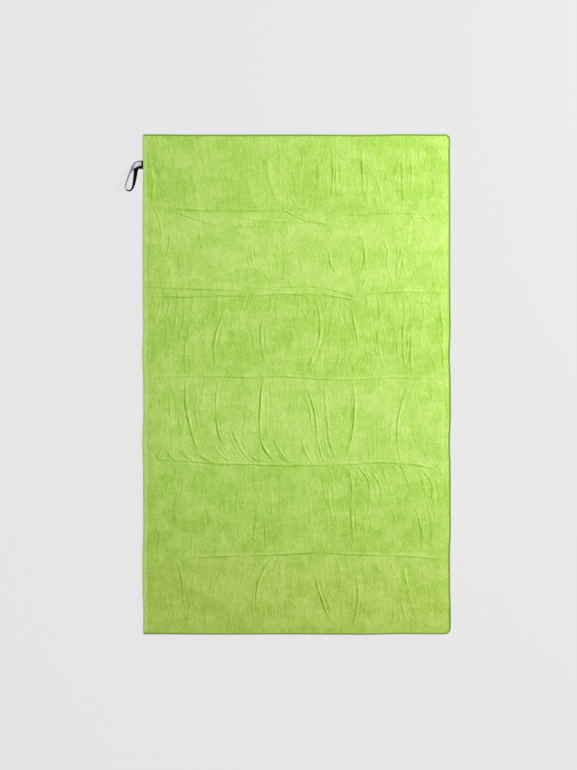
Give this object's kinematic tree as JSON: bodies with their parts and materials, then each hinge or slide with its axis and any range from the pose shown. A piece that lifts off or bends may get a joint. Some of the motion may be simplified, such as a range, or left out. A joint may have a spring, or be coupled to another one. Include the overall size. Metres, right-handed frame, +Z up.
{
  "type": "travel towel",
  "caption": "Flat rectangular plush travel towel that folds in a zigzag at its storage creases, with a small two-tone tape hanging loop on one long side.",
  "frame": {"origin": "centre of the towel's underside, on the surface it lies on", "axes": "+Z up, out of the upper face; +Y along the towel's length, to the end with the loop; +X across its width, away from the loop"},
  "size_m": [0.8466, 1.3, 0.0153],
  "materials": {
    "cloth": "lime green plush microfibre, soft sheen",
    "hem_cloth": "the same cloth with its smooth back outward",
    "green_thread": "dark lime overlock and lockstitch thread",
    "dark_thread": "black satin stitch thread",
    "loop_tape": "woven tape, light grey outside and black inside"
  },
  "bodies": {
    "panel_1": {"cloth_panel_1": "cloth", "side_hem_1": "hem_cloth", "hem_stitching_1": "green_thread", "edge_stitching_1": "green_thread", "loop_tape_ends": "loop_tape", "bar_tack": "dark_thread"},
    "panel_2": {"cloth_panel_2": "cloth", "side_hem_2": "hem_cloth", "hem_stitching_2": "green_thread", "edge_stitching_2": "green_thread"},
    "panel_3": {"cloth_panel_3": "cloth", "side_hem_3": "hem_cloth", "hem_stitching_3": "green_thread", "edge_stitching_3": "green_thread"},
    "panel_4": {"cloth_panel_4": "cloth", "side_hem_4": "hem_cloth", "hem_stitching_4": "green_thread", "edge_stitching_4": "green_thread"},
    "panel_5": {"cloth_panel_5": "cloth", "side_hem_5": "hem_cloth", "hem_stitching_5": "green_thread", "edge_stitching_5": "green_thread"},
    "panel_6": {"cloth_panel_6": "cloth", "side_hem_6": "hem_cloth", "hem_stitching_6": "green_thread", "edge_stitching_6": "green_thread"},
    "loop": {"hanging_loop": "loop_tape"}
  },
  "joints": [
    {"name": "fold_1", "type": "hinge", "parent": "panel_1", "child": "panel_2", "pos_m": [0, 0.445, 0.0075], "axis": [-1, 0, 0], "range_deg": [0, 179]},
    {"name": "fold_2", "type": "hinge", "parent": "panel_2", "child": "panel_3", "pos_m": [0, 0.238, -0.0005], "axis": [1, 0, 0], "range_deg": [0, 179]},
    {"name": "fold_3", "type": "hinge", "parent": "panel_3", "child": "panel_4", "pos_m": [0, 0.021, 0.0075], "axis": [-1, 0, 0], "range_deg": [0, 179]},
    {"name": "fold_4", "type": "hinge", "parent": "panel_4", "child": "panel_5", "pos_m": [0, -0.207, -0.0005], "axis": [1, 0, 0], "range_deg": [0, 179]},
    {"name": "fold_5", "type": "hinge", "parent": "panel_5", "child": "panel_6", "pos_m": [0, -0.438, 0.0075], "axis": [-1, 0, 0], "range_deg": [0, 179]},
    {"name": "loop_lift", "type": "hinge", "parent": "panel_1", "child": "loop", "pos_m": [-0.405, 0.571, 0.0034], "axis": [0, 1, 0], "range_deg": [0, 60]}
  ],
  "couplings": [
    {"joint": "fold_2", "follows": "fold_1", "ratio": 1},
    {"joint": "fold_3", "follows": "fold_1", "ratio": 1},
    {"joint": "fold_4", "follows": "fold_1", "ratio": 1},
    {"joint": "fold_5", "follows": "fold_1", "ratio": 1}
  ]
}
